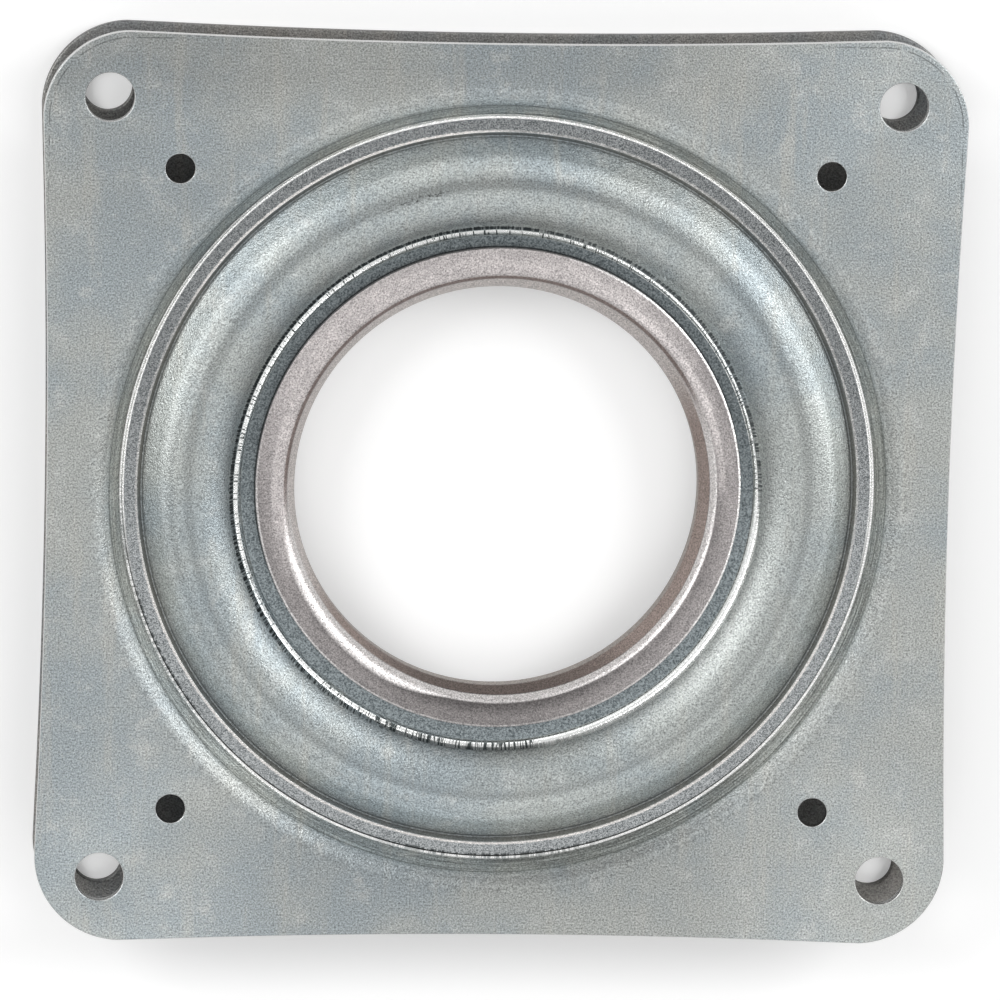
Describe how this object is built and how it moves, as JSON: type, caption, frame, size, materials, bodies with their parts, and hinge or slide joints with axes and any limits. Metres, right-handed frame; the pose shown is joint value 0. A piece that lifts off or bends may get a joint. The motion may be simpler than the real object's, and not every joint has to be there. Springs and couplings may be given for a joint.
{
  "type": "lazy susan bearing",
  "caption": "Square pressed-steel swivel bearing: two plates turn against each other on a ring of balls, round an open centre hole, with screw holes in the corners.",
  "frame": {"origin": "centre of the rear face, on the turning axis", "axes": "+Z along the turning axis from the rear plate to the front plate, +Y towards the top of the picture, +X towards its right"},
  "size_m": [0.0758, 0.0758, 0.0079],
  "materials": {
    "rear_sheet": "galvanised, worn warm where it was drawn and rolled",
    "front_sheet": "galvanised, matt with fine grain",
    "cap_sheet": "galvanised, matt with fine grain",
    "ball_steel": "polished hardened steel"
  },
  "bodies": {
    "base": {"rear_plate": "rear_sheet", "cap_ring": "cap_sheet"},
    "turntable": {"front_plate": "front_sheet"},
    "ball_row": {"ball_01": "ball_steel", "ball_02": "ball_steel", "ball_03": "ball_steel", "ball_04": "ball_steel", "ball_05": "ball_steel", "ball_06": "ball_steel", "ball_07": "ball_steel", "ball_08": "ball_steel", "ball_09": "ball_steel", "ball_10": "ball_steel", "ball_11": "ball_steel", "ball_12": "ball_steel", "ball_13": "ball_steel", "ball_14": "ball_steel", "ball_15": "ball_steel", "ball_16": "ball_steel", "ball_17": "ball_steel", "ball_18": "ball_steel", "ball_19": "ball_steel", "ball_20": "ball_steel", "ball_21": "ball_steel", "ball_22": "ball_steel", "ball_23": "ball_steel", "ball_24": "ball_steel", "ball_25": "ball_steel", "ball_26": "ball_steel", "ball_27": "ball_steel", "ball_28": "ball_steel", "ball_29": "ball_steel", "ball_30": "ball_steel", "ball_31": "ball_steel", "ball_32": "ball_steel", "ball_33": "ball_steel", "ball_34": "ball_steel"}
  },
  "joints": [
    {"name": "plate_turn", "type": "hinge", "parent": "base", "child": "turntable", "pos_m": [0, 0, 0.00794], "axis": [0, 0, 1], "continuous": true},
    {"name": "ball_orbit", "type": "hinge", "parent": "base", "child": "ball_row", "pos_m": [0, 0, 0.00331], "axis": [0, 0, 1], "continuous": true}
  ],
  "couplings": [
    {"joint": "ball_orbit", "follows": "plate_turn", "ratio": 0.5}
  ]
}
